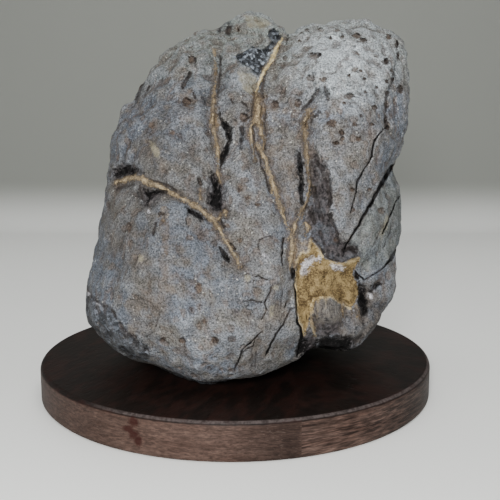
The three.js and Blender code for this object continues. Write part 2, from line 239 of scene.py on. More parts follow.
# Narrow dark marks: lines that are not open. Some are stains; others are painted shade and shadow in the flank's
# groove, under the crust's top edge, in pits and along the lobe's edge.
DARK_LINES = [
    # Painted shade in the deep groove of the flank.
    [(316, 160, 1.5), (322, 168, 2.6), (325, 178, 2.2)],
    [(327, 182, 1.8), (330, 196, 1.8), (329, 206, 1.2)],
    [(314, 188, 1.6), (315.6, 199, 2.8), (318, 210, 2.4), (322, 219, 2.0)],
    [(330, 214, 1.0), (333, 224, 1.6), (338, 234, 1.2)],
    [(312, 206, 1.2), (311, 214, 2.8), (314, 222, 2.2)],
    [(320, 232, 1.6), (324, 244, 2.0)],
    [(343, 250, 1.8), (352, 248, 2.4), (356, 252, 1.4)],
    [(130, 300, 0.1), (140, 298, 0.3), (152, 303, 0.3), (159, 314, 0.3), (156, 328, 0.3), (148, 336, 0.1)],
    [(384, 224, 0.4), (378, 236, 0.6), (372, 247, 0.4)],
    [(392, 226, 0.4), (387, 238, 0.6), (383, 248, 0.3)],
    # Painted shadow under the overhanging top edge of the gold crust.
    [(313.4, 238, 0.5), (318, 246, 0.7), (323.6, 254.4, 0.8), (331, 259.6, 0.8), (340, 262, 0.7), (349, 260.2, 0.6),
        (357, 256.4, 0.4)],
    [(267.6, 68, 0.6), (265.4, 75, 1.1), (263.4, 83, 1.3), (262.4, 91, 1.6), (263, 98, 1.0)],
    [(255, 93, 0.5), (253.6, 104, 0.6), (252.2, 112, 0.7), (251.4, 116, 1.0)],
    [(266.4, 96, 0.5), (265.6, 110, 0.8), (264.4, 124, 0.8), (266, 134, 0.6)],
    [(256.4, 97, 0.2), (256.6, 108, 0.5), (255.4, 118, 0.3)],
    [(242, 102, 0.7), (246.6, 106, 1.1), (249, 111, 0.7)],
    [(243.4, 120.4, 0.7), (248, 117.4, 0.7)],
    [(231.6, 117.6, 0.5), (235.6, 120.6, 0.7)],
    [(231, 99, 0.9), (232.4, 104, 0.3)],
    [(219.6, 24, 0.9), (219.4, 33, 0.9)],
    [(229.6, 19.6, 0.8), (227.4, 27, 1.3), (229.4, 36, 1.0)],
    [(288.4, 35, 1.0), (286.6, 43, 1.0)],
    [(273, 236, 0.1), (266, 236, 0.2), (260, 240, 0.3), (258, 246, 0.3), (259.4, 254, 0.2)],
    [(243.6, 276.4, 0.2), (247, 273.8, 0.3), (250.4, 275.2, 0.2)],
    [(271.8, 288, 0.2), (274, 284.8, 0.3), (278.4, 283.8, 0.2)],
    [(252, 346, 0.3), (251.8, 358, 0.4), (252.4, 372, 0.3)],
    [(256.4, 352, 0.6), (256, 367, 0.7)],
    [(280.6, 309, 0.1), (281.6, 298, 0.2), (284, 290, 0.1)],
    [(246.8, 306.4, 0.1), (250, 303, 0.2), (256, 301.6, 0.2), (262, 302, 0.1)],
    [(142, 178.4, 0.6), (157.4, 182.2, 0.8), (171.4, 187.2, 0.8), (177, 192, 0.5)],
    [(116, 189.6, 1.3), (124.2, 186.8, 1.6), (133, 184.6, 1.0)],
    [(139.6, 187, 1.6), (141.2, 198, 1.8)],
    [(198.8, 178.6, 1.5), (200.4, 187.4, 1.3)],
    [(219.6, 56, 1.3), (220.4, 70, 1.4), (219.4, 84, 1.4), (217.8, 96, 1.0)],
    [(160, 213.4, 1.6), (164, 214.4, 1.4)],
    [(155.6, 223, 1.0), (153.2, 234.6, 1.1)],
    [(230.4, 244.6, 1.2), (235.4, 249.4, 1.3)],
    [(220.2, 221.6, 1.5), (224, 227, 1.6)],
    [(302, 111, 1.0), (307, 105, 1.3), (311, 100, 1.6), (315, 95, 1.8), (318.4, 90, 1.4)],
    [(314.4, 116.4, 1.4), (319.6, 112, 2.2)],
    # Painted shadows at the upper sides and ends of three pits.
    [(319.6, 55.2, 1.5), (321, 54.4, 1.3)],
    [(385.4, 60.4, 1.6), (386.4, 62.6, 1.7)],
    [(399, 87.4, 1.4), (400, 90.6, 1.6)],
    [(311.4, 119.8, 1.0), (311.6, 124.4, 1.2)],
    [(325.4, 86, 1.6), (327.4, 93, 2.6), (329, 99, 1.8)],
    [(190.4, 72.6, 1.5), (186.6, 80.4, 1.8), (182.6, 88, 1.5)],
    [(194.6, 58, 1.1), (195.8, 66, 1.0)],
    [(142.6, 84, 1.4), (138.6, 94, 1.7), (136.8, 102, 1.2)],
    [(148.8, 86, 1.2), (147, 91, 1.0)],
    [(151.6, 99, 0.8), (150.8, 107, 0.7)],
    [(241.8, 127, 1.8), (243.2, 134, 1.8)],
    [(241.8, 139, 0.9), (241, 148, 0.8)],
    [(194.4, 93, 1.1), (194.8, 99, 1.0)],
    # The lobe's pitted edge: dark pits with painted shadow.
    [(397.2, 41, 0.9), (397.2, 56, 1.2), (394.6, 70, 1.1), (392, 82.6, 1.2), (387, 91.6, 1.4), (385.8, 105.6, 1.1),
        (385.2, 119.6, 1.2), (387, 125.6, 1.8)],
    [(283, 218, 0.6), (288.4, 227, 0.5)],
    [(264.8, 142, 0.8), (265.6, 149, 0.7)],
    [(244.6, 301, 0.5), (252, 299.6, 0.6), (262, 302, 0.6)],
    [(253, 128, 0.7), (254.8, 143, 0.8), (258.6, 154, 0.6), (265, 175, 0.8), (271, 193, 0.7)],
    [(310.6, 187, 0.9), (308.6, 199, 0.9), (304.6, 211, 0.8)],
    [(87.7, 287, 1.0), (92.8, 297, 1.4), (100.4, 303.4, 1.3), (110.6, 308.6, 1.0), (117, 318.6, 0.9),
        (127.2, 332.8, 0.8), (137.4, 337, 0.6)],
]

# Regions of the face that lie lower and rougher, or are coloured differently, by their outlines.
GOLD_CRUST = [
    (312.3, 240.6), (317, 247), (322.7, 256.2), (330.7, 260.8), (340, 263.2), (349, 261.4), (359, 257.6), (359, 262),
    (353.8, 267.7), (353, 273.5), (356, 280.4), (358.3, 287.3), (358.3, 295.3), (356, 302.2), (350.2, 307.9),
    (343.3, 303.3), (337.6, 301), (330.7, 297.6), (322.7, 297.6), (315.8, 301), (313.5, 309), (309, 317),
    (307.7, 325), (304.3, 336), (300.9, 325), (298.2, 317), (296.6, 306.8), (296.4, 295.3), (295.4, 283.8),
    (296.4, 273.5), (297.4, 265.4), (298.8, 257.4), (302.6, 252.6), (307, 255.6), (310.4, 249),
]
STAINS = {
    "between_seams": [(266, 150), (280, 146), (296, 150), (298, 176), (301, 200), (298, 222), (294, 240), (298, 262),
        (290, 262), (284, 226), (276, 196), (268, 172)],
    "upper_between": [(246, 96), (262, 92), (272, 98), (278, 112), (272, 128), (266, 140), (252, 140), (244, 122)],
    "right_seam_band": [(300, 108), (316, 104), (314, 118), (311, 140), (312, 160), (302, 166), (300, 140)],
    "left_streak": [(164, 218), (172, 222), (174, 250), (176, 290), (170, 312), (160, 318), (164, 280), (166, 250)],
    "far_left": [(124, 244), (132, 250), (144, 252), (150, 262), (142, 270), (128, 262)],
    "upper_left": [(172, 96), (190, 98), (194, 112), (186, 122), (176, 116)],
    "left_pale": [(144, 138), (154, 138), (162, 152), (170, 172), (166, 182), (156, 170), (148, 154)],
    "lower_left": [(125, 300), (148, 292), (166, 300), (158, 322), (144, 338), (128, 334)],
    "belly_streak": [(256, 322), (270, 300), (288, 300), (286, 318), (272, 344), (264, 360), (246, 376), (238, 372),
        (248, 350)],
    "right_trail": [(334, 196), (342, 191), (352, 187), (354, 192), (344, 197), (336, 201)],
    "right_low_trail": [(346, 206), (354, 206), (354, 214), (347, 214)],
    "lobe_foot": [(330, 120), (344, 126), (346, 144), (336, 148), (332, 138), (328, 128)],
    "left_seam_foot": [(220, 222), (228, 226), (232, 242), (242, 262), (242, 272), (232, 266), (224, 250)],
}
# Bluish dark stains; the one left of the right seam also carries painted shade.
BLUE_STAINS = {
    "hook": [(303, 110), (308, 102), (314, 95), (318, 86), (323, 84), (328, 90), (331, 99), (326, 100), (322, 95),
        (319, 101), (312, 105), (308, 110)],
    "left_of_right_seam": [(296, 146), (302, 148), (303, 160), (302, 172), (297, 172), (294, 160)],
    "upper_left_band": [(200, 90), (206, 88), (207, 104), (205, 120), (200, 118)],
    "column_spots": [(239, 126), (246, 127), (245, 137), (243, 150), (238, 150), (239, 138)],
    "knob_crater": [(224, 20), (231, 18), (234, 26), (232, 36), (227, 38), (223, 30)],
    "knob_left": [(217, 24), (222, 23), (222, 33), (217, 34)],
}
OCHRE_STAINS = {
    "crust_corner": [(293, 244), (299, 238), (305, 243), (311, 236), (314, 243), (300, 264), (294, 272), (291, 258)],
    "crest_foot": [(253, 92), (264, 92), (267, 110), (264, 126), (252, 124)],
    "left_sprig": [(162, 206), (168, 207), (171, 213), (165, 222), (160, 220)],
    "low_right_leg": [(352, 300), (357, 306), (360, 318), (355, 314), (350, 308)],
    "thread_foot": [(214, 104), (218, 112), (218, 130), (211, 128), (210, 112)],
}
# Pale glossy film with painted glints; those in the cavity under the corner and the tiny ones at the left edge and
# low right are painted glints alone.
GLAZE_AND_GLINTS = {
    "corner": [(302, 264), (306, 259), (312, 256.6), (319, 258), (314, 262), (308.6, 267), (306, 275), (302.4, 275)],
    "under_lip": [(330, 265.4), (336, 264), (344, 267), (342, 270.4), (334, 270)],
    "lip": [(316, 257), (321, 258.4), (320, 261), (315.6, 260)],
    "speck": [(147.8, 210.6), (150.4, 210.8), (150.2, 213.4), (147.6, 213)],
    "scale": [(263.8, 255.4), (265.8, 255), (267, 259.4), (265, 260)],
    "low_right": [(367.8, 294), (371.2, 294.6), (371, 298), (367.6, 297.4)],
    "left_edge_high": [(89, 293), (91, 293), (91, 295), (89, 295)],
    "left_edge_low": [(97, 303), (99, 303), (99.4, 305), (97, 305)],
    "low_right_second": [(373, 289), (375, 289), (375, 291), (373.4, 291.4)],
    "cavity_low": [(337.4, 345.4), (341, 345), (341.4, 347.6), (337.6, 347.8)],
    "cavity_left": [(331, 344), (333.4, 344), (333.2, 346), (331, 346)],
}
PALE_STAINS = {
    "beside_crest": [(238, 72), (250, 74), (257, 78), (257, 90), (250, 94), (242, 88)],
    "knob_right": [(245, 15), (264, 18), (270, 24), (262, 30), (248, 27)],
    "far_left": [(150, 141), (154, 141), (158, 150), (160, 158), (156, 158), (152, 150)],
    "left_dot": [(138, 256), (144, 255.6), (145, 261), (139, 262)],
    "curl_dot": [(244.6, 276), (249, 274.6), (251, 278), (248, 281), (244.6, 280)],
    "belly_dot": [(272, 288), (274.6, 285.4), (279, 285), (279.6, 289), (275, 291)],
    "belly_streak": [(270, 304), (273, 304), (273.6, 316), (270.6, 318)],
    "strip_wedge": [(386, 214), (389.4, 216), (386.6, 227), (380.6, 240), (380, 232), (383.4, 223)],
}
CRUST_RIM = [
    [(297, 262, 1.0), (301, 252, 1.2), (307, 255, 1.0), (312, 240, 0.9), (317, 248, 1.0), (323, 257, 1.0)],
    [(331, 262, 1.0), (340, 264.6, 1.4), (350, 262.6, 1.6), (358, 259, 1.4)],
    [(314, 300, 1.0), (322, 297.4, 1.0), (331, 297, 1.0), (338, 301, 1.0), (344, 304, 1.1), (350, 308, 1.0)],
    [(296.6, 272, 0.8), (295.6, 290, 0.8), (297, 308, 0.9), (300, 322, 1.0), (304, 335, 1.0)],
    [(312, 304, 1.0), (311, 316, 1.0), (313, 328, 1.0), (315, 336, 0.9)],
    [(319, 299, 0.6), (317.6, 310, 0.5), (317, 318, 0.3)],
    [(326, 298, 0.6), (325.6, 308, 0.4)],
]
CREST_FACET = [
    (234, 56), (240, 54), (246, 50), (252, 47), (258, 47.5), (262, 49), (268, 46), (270, 41), (267, 36), (269, 30),
    (274, 28), (278, 31), (282, 38), (278, 42), (275, 47), (272, 50), (268, 57), (266, 63), (263, 69), (261, 74),
    (258, 76), (254, 73), (250, 68), (244, 65), (238, 62),
]
# Dark grounds: dark rock with painted shade in the deep groove beside the right seam, and painted shadow under the
# overhanging corner.
DARK_GROUNDS = {
    "flank": [(311, 150), (319, 156), (326, 164), (331, 180), (332, 196), (329, 208), (331, 220), (336, 230),
        (342, 240), (350, 243), (358, 245), (360, 255), (351, 260), (340, 263), (331, 261), (323, 256), (317, 247),
        (312, 238), (308, 226), (306, 214), (309, 204), (311, 192), (311, 176)],
    "boss_foot": [(314, 316), (322, 318), (332, 319), (341, 316), (344, 326), (342, 336), (330, 337), (318, 338),
        (313, 330)],
    "nubs": [(303, 334), (308, 330), (316, 337), (318, 349), (306, 355), (297, 358), (299, 344)],
    "right_of_crust": [(358, 281), (364, 286), (369, 298), (368, 314), (362, 322), (358, 308)],
    "under_corner": [(322, 337), (352, 336), (360, 339), (358, 350), (345, 352), (320, 350)],
    "foot_of_upper_left": [(209, 177), (215, 172), (223, 186), (226, 200), (229, 212), (219, 217), (209, 210),
        (207, 196)],
    "above_left_branch": [(110, 179), (113, 168), (124, 163), (135, 164), (142, 171), (134, 177), (120, 180)],
    "under_left_branch": [(141, 186), (152, 190), (168, 191), (160, 197), (152, 206), (144, 207), (141, 197)],
}
LOW_BAND = [
    (84, 290), (92.8, 298), (100.4, 304), (110.6, 309.5), (117, 319), (127, 333), (137, 338), (146, 344), (151, 352),
    (146, 360), (130, 358), (108, 345), (93, 334), (84, 316),
]
GREY_BOSS = [
    (315.8, 303), (322.7, 299.6), (330.7, 299.4), (337.6, 303), (341.4, 312), (342, 319), (335, 323), (326, 321),
    (318, 324), (313.6, 320), (314, 311),
]
LOW_CORNER = [
    (343, 306), (351, 310), (357, 303), (360, 291), (366, 285), (376, 292), (386, 300), (384, 312), (374, 332),
    (358, 344), (345, 346), (338, 334), (343, 322),
]
RIGHT_LOBE = [
    (292, 30), (320, 22), (368, 20), (398, 36), (402, 64), (384, 92), (352, 108), (326, 102), (304, 84), (294, 60),
]
RIGHT_STRIP = [
    (392, 168), (384, 183), (376, 198), (365, 216.5), (352.6, 238), (347, 247), (358, 257), (362, 272), (384, 265),
    (396, 250), (404, 236), (404, 200),
]

# Broad bleached and dulled areas, with painted light and shade: right, down, reach, how much paler or darker the
# middle is.
BLEACHING_AND_PAINTED_LIGHT = [
    (345, 56, 62, 0.3), (126, 236, 62, -0.22), (262, 190, 30, 0.05), (352, 170, 34, 0.12), (378, 232, 34, 0.1),
    (120, 330, 40, -0.08), (250, 130, 26, 0.06), (168, 176, 50, -0.18), (330, 118, 46, 0.14), (192, 352, 40, 0.22),
    (252, 30, 30, 0.1), (262, 92, 30, 0.08), (392, 200, 30, -0.06), (399, 100, 20, 0.25), (397, 60, 18, 0.15),
    (158, 138, 34, -0.13), (212, 362, 28, 0.12),
]

# Pits and mineral spots: right, down, half width, half height, depth in millimetres.
PITS = [
    (352, 190, 2.4, 2.4, 0.6), (369, 189.5, 2.2, 2.2, 0.5), (353, 209.5, 2, 2.6, 0.6), (336, 240, 2.6, 2.2, 0.4),
    (356.3, 36, 4.4, 3.2, 1.0), (362.6, 40.8, 5, 2.8, 0.6), (385.8, 61.6, 3.4, 4, 1.2), (399.8, 89.5, 3.2, 4.4, 1.2),
    (374.8, 107.6, 2.6, 2.6, 0.8), (313.5, 56, 6.2, 3.8, 0.8), (320.4, 54.8, 1.6, 1.6, 1.2),
    (307, 29.8, 2.3, 1.5, 0.8), (320.6, 29.4, 3.2, 2.2, 0.7), (337.6, 30.2, 3, 1.9, 0.6), (310, 77.6, 4.6, 3.6, 0.6),
    (323.8, 79.3, 4.2, 2.8, 0.6), (297.6, 103, 4.2, 3.8, 0.5), (349.6, 96.5, 4.4, 3.2, 0.5), (331, 123.5, 5, 4, 0.3),
    (341.6, 132.4, 2.6, 3.4, 0.6), (336.4, 143.2, 3.2, 2.3, 1.0), (342.4, 139, 2, 2.4, 0.5),
    (358.8, 138.8, 2.7, 2.7, 0.7), (354.4, 124.8, 2.8, 2.4, 0.5), (349.3, 75.7, 1.9, 1.7, 0.6),
    (364, 79, 2, 1.8, 0.5), (386.3, 81.4, 2.1, 2, 0.6), (275, 105, 4.2, 4.6, 0.4), (285.5, 57.8, 2.7, 2.4, 0.4),
    (330.6, 38.4, 2, 1.4, 0.6), (341.6, 36.6, 2.4, 1.6, 0.6), (302, 33, 1.6, 1, 0.5), (299.6, 41, 1.8, 1.1, 0.5),
    (317, 62, 1.6, 1.2, 0.5), (344, 102.4, 2, 1.4, 0.6), (361, 70.6, 1.8, 1.6, 0.5), (376.6, 87.4, 1.6, 2, 0.6),
    (365, 92, 1.8, 1.6, 0.5), (361, 116, 2, 1.8, 0.5), (372, 124.4, 1.8, 1.6, 0.5), (388.6, 36.4, 2.4, 2.8, 0.8),
    (396.6, 44, 2, 3.4, 0.9), (397.8, 57, 1.8, 4.4, 1.0), (392, 70.6, 1.8, 2.2, 0.8), (393, 79.6, 2, 2, 0.9),
    (387, 93, 2.4, 2.6, 0.9), (386, 106, 1.8, 3.6, 0.8), (355, 53, 4, 2.6, 0.32), (355.4, 69.8, 3.6, 3.2, 0.32),
    (377, 55.4, 2.4, 1.6, 0.4), (385.4, 120, 1.8, 2.6, 0.7), (387, 127, 2.2, 2.2, 0.9), (191.8, 60, 3.4, 5, 0.6),
    (129, 227.4, 3, 4.4, 0.4), (166.7, 251, 2.6, 4.4, 0.3), (198.6, 288, 3.4, 6, 0.3), (191, 309.7, 4.2, 4, 0.3),
    (205, 320.5, 3.2, 3, 0.3), (182, 340, 3.4, 3.2, 0.4), (215, 340, 3.6, 3.4, 0.4), (231.8, 339, 4.4, 3.4, 0.3),
    (163, 339.7, 2.6, 2, 0.4), (186.7, 101.6, 4.6, 4.6, 0.4), (381, 210.6, 3.6, 3.4, 0.4), (247, 197, 3, 3, 0.3),
    (228, 226, 3, 2.6, 0.3), (258, 205, 2.6, 2.2, 0.4), (240, 240, 3, 2.6, 0.3), (240, 189, 3, 3.6, 0.3),
    (356.4, 275, 2.6, 2.6, 0.6), (172, 132, 2.6, 3, 0.3), (152, 125, 3, 3.4, 0.3), (243.5, 117, 4.2, 5, 0.45),
    (238, 30, 2, 2, 0.6), (229, 30, 3.4, 4.6, 1.3), (283, 67, 3, 2.6, 0.3),
]


# Seams and cracks of the back, laid out in millimetres: X, Z and half width along each line.
BACK_SEAMS = [
    [(-22, 96, 0.3), (-17, 84, 0.6), (-15, 70, 0.7), (-9, 58, 0.8), (-6, 44, 0.6), (1, 33, 0.3)],
    [(-15, 70, 0.3), (-23, 62, 0.5), (-29, 52, 0.5), (-32, 44, 0.2)],
    [(18, 101, 0.2), (20, 90, 0.5), (25, 78, 0.5), (26, 66, 0.2)],
]
BACK_CRACKS = [
    [(-37, 58, 0.1), (-34, 65, 0.25), (-35, 73, 0.2), (-32, 80, 0.1)],
    [(34, 84, 0.3), (28, 72, 0.5), (22, 62, 0.4), (19, 49, 0.4), (11, 38, 0.2)],
    [(12, 94, 0.1), (8, 84, 0.4), (9, 74, 0.3), (4, 66, 0.1)],
    [(-27, 42, 0.1), (-22, 34, 0.25), (-20, 27, 0.2), (-14, 19, 0.1)],
]


def on_chart(points):
    """Where points, in millimetres, fall on the face's chart."""
    away = points - np.array(EYE) / MM
    forward = away[:, 1] * math.cos(LOOK_DOWN) - away[:, 2] * math.sin(LOOK_DOWN)
    up = away[:, 1] * math.sin(LOOK_DOWN) + away[:, 2] * math.cos(LOOK_DOWN)
    zoom = CHART * LENS_MM / SENSOR_MM
    return np.stack((CHART / 2 + zoom * away[:, 0] / forward, CHART / 2 - zoom * up / forward), axis=1)


def line_gap(places, line):
    """How far places on the chart lie outside a line's half width."""
    nearest = np.full(len(places), 99.0)
    for (right0, down0, wide0), (right1, down1, wide1) in zip(line, line[1:]):
        start = np.array((right0, down0))
        run = np.array((right1, down1)) - start
        share = np.clip((places - start) @ run / (run @ run), 0.0, 1.0)
        away = np.hypot(*(places - start - share[:, None] * run).T)
        nearest = np.minimum(nearest, away - wide0 - (wide1 - wide0) * share)
    return nearest


def outline_gap(places, outline):
    """How far places on the chart lie outside an outline; negative inside it."""
    closed = outline + outline[:1]
    edge = line_gap(places, [(right, down, 0.0) for right, down in closed])
    inside = np.zeros(len(places), bool)
    for (right0, down0), (right1, down1) in zip(closed, closed[1:]):
        crosses = (down0 > places[:, 1]) != (down1 > places[:, 1])
        slope = (right1 - right0) / (down1 - down0 if down1 != down0 else 1e-9)
        inside ^= crosses & (places[:, 0] < right0 + slope * (places[:, 1] - down0))
    return np.where(inside, -edge, edge)


def step(value, from_value, to_value):
    """0 at from_value, 1 at to_value, with a smooth change between."""
    share = np.clip((value - from_value) / (to_value - from_value), 0.0, 1.0)
    return share * share * (3.0 - 2.0 * share)


def lumps(points, size, seed):
    """Smooth random unevenness, about -1 to 1, with lumps of the given size."""
    table = np.random.default_rng(seed).permutation(512)
    slopes = np.random.default_rng(seed + 1).normal(size=(512, 3))
    slopes /= np.linalg.norm(slopes, axis=1)[:, None]
    place = points / size + 1000.0
    cell = np.floor(place).astype(int)
    inner = place - cell
    blend = inner * inner * inner * (inner * (inner * 6.0 - 15.0) + 10.0)
    total = np.zeros(len(points))
    for corner in np.ndindex(2, 2, 2):
        at = cell + corner
        pick = table[(table[(table[at[:, 0] % 512] + at[:, 1]) % 512] + at[:, 2]) % 512]
        pull = (slopes[pick] * (inner - corner)).sum(axis=1)
        weight = np.prod(np.where(corner, blend, 1.0 - blend), axis=1)
        total += weight * pull
    return total * 1.6


def skin_arrays(mesh):
    """Corner points in millimetres, triangles and edges of a mesh of triangles."""
    points = np.empty(len(mesh.vertices) * 3)
    mesh.vertices.foreach_get("co", points)
    triangles = np.empty(len(mesh.polygons) * 3, int)
    mesh.polygons.foreach_get("vertices", triangles)
    edges = np.empty(len(mesh.edges) * 2, int)
    mesh.edges.foreach_get("vertices", edges)
    return points.reshape(-1, 3) / MM, triangles.reshape(-1, 3), edges.reshape(-1, 2)


def smoothed(points, edges, rounds):
    """Points drawn towards the mean of their neighbours."""
    count = np.bincount(edges.ravel(), minlength=len(points))[:, None]
    for _ in range(rounds):
        total = np.zeros_like(points)
        for axis in range(3):
            total[:, axis] = np.bincount(edges[:, 0], points[edges[:, 1], axis], len(points))
            total[:, axis] += np.bincount(edges[:, 1], points[edges[:, 0], axis], len(points))
        points = points + 0.6 * (total / count - points)
    return points


def outward(points, triangles):
    """Unit directions that point out of the surface at each point."""
    a, b, c = (points[triangles[:, i]] for i in range(3))
    face = np.cross(b - a, c - a)
    total = np.zeros_like(points)
    for axis in range(3):
        for corner in range(3):
            total[:, axis] += np.bincount(triangles[:, corner], face[:, axis], len(points))
    return total / np.maximum(np.linalg.norm(total, axis=1), 1e-9)[:, None]


def feature_gap(places):
    """How far places on the chart lie from the nearest seam, crack or hollow."""
    nearest = np.full(len(places), 99.0)
    for line in [*SEAMS.values(), *CRACKS.values(), *DARK_LINES, *CRUST_RIM]:
        nearest = np.minimum(nearest, line_gap(places, line))
    for outline in [*HOLLOWS.values(), GOLD_CRUST, CREST_FACET]:
        nearest = np.minimum(nearest, outline_gap(places, outline))
    for right, down, wide, high, depth in PITS:
        if depth > SHALLOW_MM:
            away = np.hypot((places[:, 0] - right) / wide, (places[:, 1] - down) / high)
            nearest = np.minimum(nearest, (away - 1.0) * min(wide, high))
    return nearest


# An even skin of small triangles over the stone's solid, with the facets smoothed away.
solid_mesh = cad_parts["stone"].data.copy()
merging = bmesh.new()
merging.from_mesh(solid_mesh)
bmesh.ops.remove_doubles(merging, verts=merging.verts, dist=1e-6)
merging.to_mesh(solid_mesh)
merging.free()
stone = bpy.data.objects.new("weathered_stone", solid_mesh)
bpy.context.scene.collection.objects.link(stone)
skin = stone.modifiers.new("even_skin", "REMESH")
skin.mode = "VOXEL"
skin.voxel_size = SKIN_STEP_MM * MM
skinned = bpy.data.meshes.new_from_object(stone.evaluated_get(bpy.context.evaluated_depsgraph_get()))
stone.modifiers.clear()

work = bmesh.new()
work.from_mesh(skinned)
bmesh.ops.triangulate(work, faces=work.faces)
work.to_mesh(skinned)
points, triangles, edges = skin_arrays(skinned)
on_seat = points[:, 2] < SEAT_Z_MM + 0.3
points = smoothed(points, edges, SMOOTHING_ROUNDS)
points += SWELL_MM * outward(points, triangles)
points[on_seat, 2] = SEAT_Z_MM
# Weathered lumps and folds all over. They are bolder near the crest and die away at the seat.
waves = sum(height_mm * lumps(points, size_mm, seed) for height_mm, size_mm, seed in ROUND_LUMPS)
waves += sum(height_mm * np.abs(lumps(points, size_mm, seed)) for height_mm, size_mm, seed in FOLDS)
waves -= MEAN_FOLD_MM
waves *= 1.0 + 0.65 * step(points[:, 2], 58.0, 92.0)
waves = waves * step(points[:, 2], 10.5, 18.0) - 0.3 * step(points[:, 2], 18.0, 11.0)
points += waves[:, None] * outward(smoothed(points, edges, 3), triangles)
work.verts.ensure_lookup_table()
for vertex, place in zip(work.verts, points * MM):
    vertex.co = place

# Finer triangles along the seams, cracks and hollows of the face.
for reach in FINER_WITHIN:
    work.to_mesh(skinned)
    points, triangles, edges = skin_arrays(skinned)
    facing = (outward(points, triangles) * (np.array(EYE) / MM - points)).sum(axis=1) > 0
    near = (feature_gap(on_chart(points)) < reach) & facing
    work.verts.ensure_lookup_table()
    chosen = [edge for edge in work.edges if near[edge.verts[0].index] or near[edge.verts[1].index]]
    bmesh.ops.subdivide_edges(work, edges=chosen, cuts=1)
    bmesh.ops.triangulate(work, faces=work.faces)
    work.verts.index_update()
work.to_mesh(skinned)
work.free()
points, triangles, edges = skin_arrays(skinned)
normals = outward(smoothed(points, edges, 3), triangles)

# Where each point falls on the chart, with a little wander so that no edge runs true.
toward = np.array(EYE) / MM - points
toward /= np.linalg.norm(toward, axis=1)[:, None]
front = step((normals * toward).sum(axis=1), *ROUND_THE_OUTLINE)
places = on_chart(points)
places[:, 0] += 0.9 * lumps(points, 2.6, 11) + 0.5 * lumps(points, 1.1, 12)
places[:, 1] += 0.9 * lumps(points, 2.6, 13) + 0.5 * lumps(points, 1.1, 14)


def nearest_of(choices):
    """The smallest of several gaps, on the front only."""
    return np.where(front > 0.02, np.minimum.reduce(choices), FAR) + (1.0 - front) * EDGE_FADE


gaps = {
    name: nearest_of([line_gap(places, line) for line in lines])
    for name, lines in {
        "seam": SEAMS.values(),
        "crack": CRACKS.values(),
        "crest": [SEAMS["crest"]],
        "great": [CRACKS["great"]],
        "dark": DARK_LINES,
        "rim": CRUST_RIM,
    }.items()
}
gaps["heart"] = nearest_of(
    [line_gap(places, SEAMS[name]) + HEART_INSET * (1.0 - pale) for name, pale in PALENESS.items()]
)
for name, outlines in {
    "hollow": HOLLOWS.values(),
    "crust": [GOLD_CRUST],
    "facet": [CREST_FACET],
    "flank": DARK_GROUNDS.values(),
    "band": [LOW_BAND],
    "stain": STAINS.values(),
    "hook": BLUE_STAINS.values(),
    "ochre": OCHRE_STAINS.values(),
    "glaze_and_glint": GLAZE_AND_GLINTS.values(),
    "pale": PALE_STAINS.values(),
    "boss": [GREY_BOSS],
    "corner": [LOW_CORNER],
    "strip": [RIGHT_STRIP],
    "lobe": [RIGHT_LOBE],
}.items():
    gaps[name] = nearest_of([outline_gap(places, outline) for outline in outlines])
behind = step(normals[:, 1], 0.15, 0.5)
back_places = points[:, [0, 2]] + np.stack((1.1 * lumps(points, 5.0, 61), 1.1 * lumps(points, 4.0, 62)), axis=1)
for name, lines in (("seam", BACK_SEAMS), ("heart", BACK_SEAMS), ("crack", BACK_CRACKS)):
    for line in lines:
        gap = UNITS_PER_MM * line_gap(back_places, line) + TURNED_AWAY * (1.0 - behind)
        gaps[name] = np.minimum(gaps[name], gap)
# Paler and darker areas over the face: bleaching, and painted light and shade.
bleach_and_painted_light = np.ones(len(points))
for right, down, reach, change in BLEACHING_AND_PAINTED_LIGHT:
    away = np.hypot(places[:, 0] - right, places[:, 1] - down) / reach
    bleach_and_painted_light += change * np.exp(-(away**2)) * front
pit_depth = np.zeros(len(points))
gaps["pit"] = np.full(len(points), FAR)
gaps["lip"] = np.full(len(points), FAR)
for right, down, wide, high, depth in PITS:
    away = np.hypot((places[:, 0] - right) / wide, (places[:, 1] - down) / high)
    lower = np.hypot((places[:, 0] - right + 0.2 * wide) / wide, (places[:, 1] - down - 0.45 * high) / high)
    pit_depth += depth * np.clip(1.0 - away**4, 0.0, 1.0) * front
    hidden = TURNED_AWAY * (1.0 - front)
    gaps["pit"] = np.minimum(gaps["pit"], (away - 1.0) * min(wide, high) + hidden)
    # Painted shadow: a dark crescent inside the upper side of each deep pit.
    lip = np.maximum(away - 1.0, 1.0 - lower) * min(wide, high) + hidden + 2.0 * (depth < SHALLOW_MM)
    gaps["lip"] = np.minimum(gaps["lip"], lip)

# The relief, in millimetres: what stands proud and what is cut in.
ragged_edge = 1.1 * lumps(points, 2.1, 53)
gaps["seam"] = gaps["seam"] + ragged_edge
gaps["heart"] = gaps["heart"] + ragged_edge
gaps["hollow"] = gaps["hollow"] + 1.1 * lumps(points, 2.2, 51) + 0.4 * lumps(points, 0.9, 52)
relief = np.zeros(len(points))
rough = 0.5 * lumps(points, 3.0, 31) + 0.5 * lumps(points, 1.7, 32)
for name, drop, roughness in SUNKEN_GROUNDS:
    relief += step(gaps[name], 0.9, -1.6) * (roughness * rough - drop)
for name, rise, outer, inner, lump_mm, seed in RAISED_AND_CUT:
    uneven = 1.0 + 0.9 * lumps(points, lump_mm, seed) if seed else 1.0
    relief += rise * step(gaps[name], outer, inner) * uneven
relief -= TROUGH_MM * step(np.minimum(gaps["seam"], gaps["hollow"]), 15.0, 1.0)
relief -= pit_depth
raised = np.where(front[:, None] > 0.5, toward, normals)
points = points + relief[:, None] * raised
seated = (normals[:, 2] < -0.6) & (points[:, 2] < SEAT_Z_MM + 0.8)
points[seated, 2] = SEAT_Z_MM
points[:, 2] = np.maximum(points[:, 2], SEAT_Z_MM)

